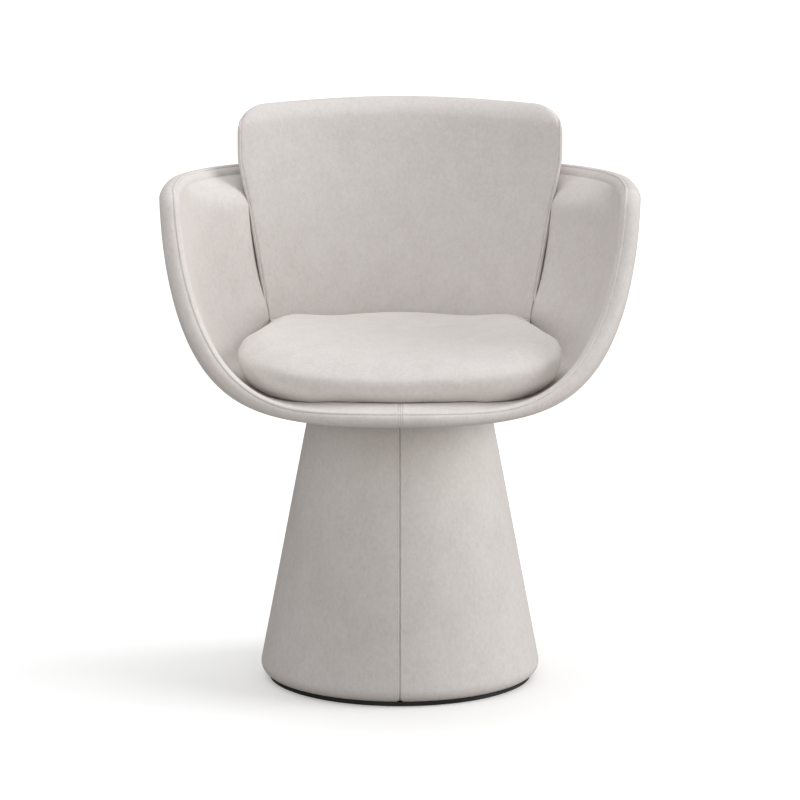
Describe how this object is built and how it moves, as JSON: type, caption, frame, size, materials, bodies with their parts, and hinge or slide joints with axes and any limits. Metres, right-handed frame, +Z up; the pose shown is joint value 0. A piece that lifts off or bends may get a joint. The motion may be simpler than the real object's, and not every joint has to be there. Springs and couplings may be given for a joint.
{
  "type": "pedestal swivel armchair",
  "caption": "Upholstered tub armchair with a seat cushion and a tall back pad, turning on a round tapered pedestal.",
  "frame": {"origin": "on the floor, on the swivel axis, at the middle of the pedestal's underside", "axes": "+Z up along the swivel axis; the sitter looks along -Y; +X to the sitter's left"},
  "size_m": [0.6438, 0.6003, 0.7947],
  "materials": {
    "brushed_cloth": "brushed woven cloth, light greige",
    "black_felt": "pressed felt, black",
    "black_steel": "black powder coat",
    "frame_steel": "welded tube, dark grey paint",
    "zinc_screws": "zinc plated",
    "bearing_steel": "polished bearing steel",
    "plywood": "sanded birch plywood",
    "foam": "cut upholstery foam"
  },
  "bodies": {
    "pedestal": {"felt_base_pad": "black_felt", "base_plate": "black_steel", "base_plate_screws": "zinc_screws", "bottom_board": "plywood", "pedestal_posts": "plywood", "post_screws": "zinc_screws", "top_board": "plywood", "pedestal_skin": "plywood", "pedestal_padding": "foam", "pedestal_cover_left": "brushed_cloth", "pedestal_cover_right": "brushed_cloth", "swivel_lower_disc": "black_steel", "lower_disc_bolts": "zinc_screws", "lower_tee_nuts": "zinc_screws"},
    "bearing_cage": {"swivel_balls": "bearing_steel", "ball_cage": "bearing_steel"},
    "seat": {"back_pad_cover": "brushed_cloth", "back_pad_foam": "foam", "back_pad_panel": "plywood", "back_straps": "frame_steel", "bar_screws": "zinc_screws", "dust_cover": "black_felt", "frame_bars": "frame_steel", "frame_ribs_left": "frame_steel", "frame_ribs_right": "frame_steel", "frame_rim_tube_left": "frame_steel", "frame_rim_tube_right": "frame_steel", "frame_ring": "frame_steel", "inner_cover_left": "brushed_cloth", "inner_cover_right": "brushed_cloth", "outer_cover_left": "brushed_cloth", "outer_cover_right": "brushed_cloth", "pad_bolts": "zinc_screws", "pad_tee_nuts": "zinc_screws", "rim_welt_left": "brushed_cloth", "rim_welt_right": "brushed_cloth", "seat_board": "plywood", "seat_cushion_cover": "brushed_cloth", "seat_cushion_foam": "foam", "swivel_pin": "bearing_steel", "swivel_upper_disc": "black_steel", "tub_foam_left": "foam", "tub_foam_right": "foam", "upper_disc_bolts": "zinc_screws", "upper_tee_nuts": "zinc_screws"}
  },
  "joints": [
    {"name": "swivel", "type": "hinge", "parent": "pedestal", "child": "seat", "pos_m": [0, 0, 0.382], "axis": [0, 0, 1], "continuous": true},
    {"name": "cage_turn", "type": "hinge", "parent": "pedestal", "child": "bearing_cage", "pos_m": [0, 0, 0.382], "axis": [0, 0, 1], "continuous": true}
  ],
  "couplings": [
    {"joint": "cage_turn", "follows": "swivel", "ratio": 0.5}
  ]
}
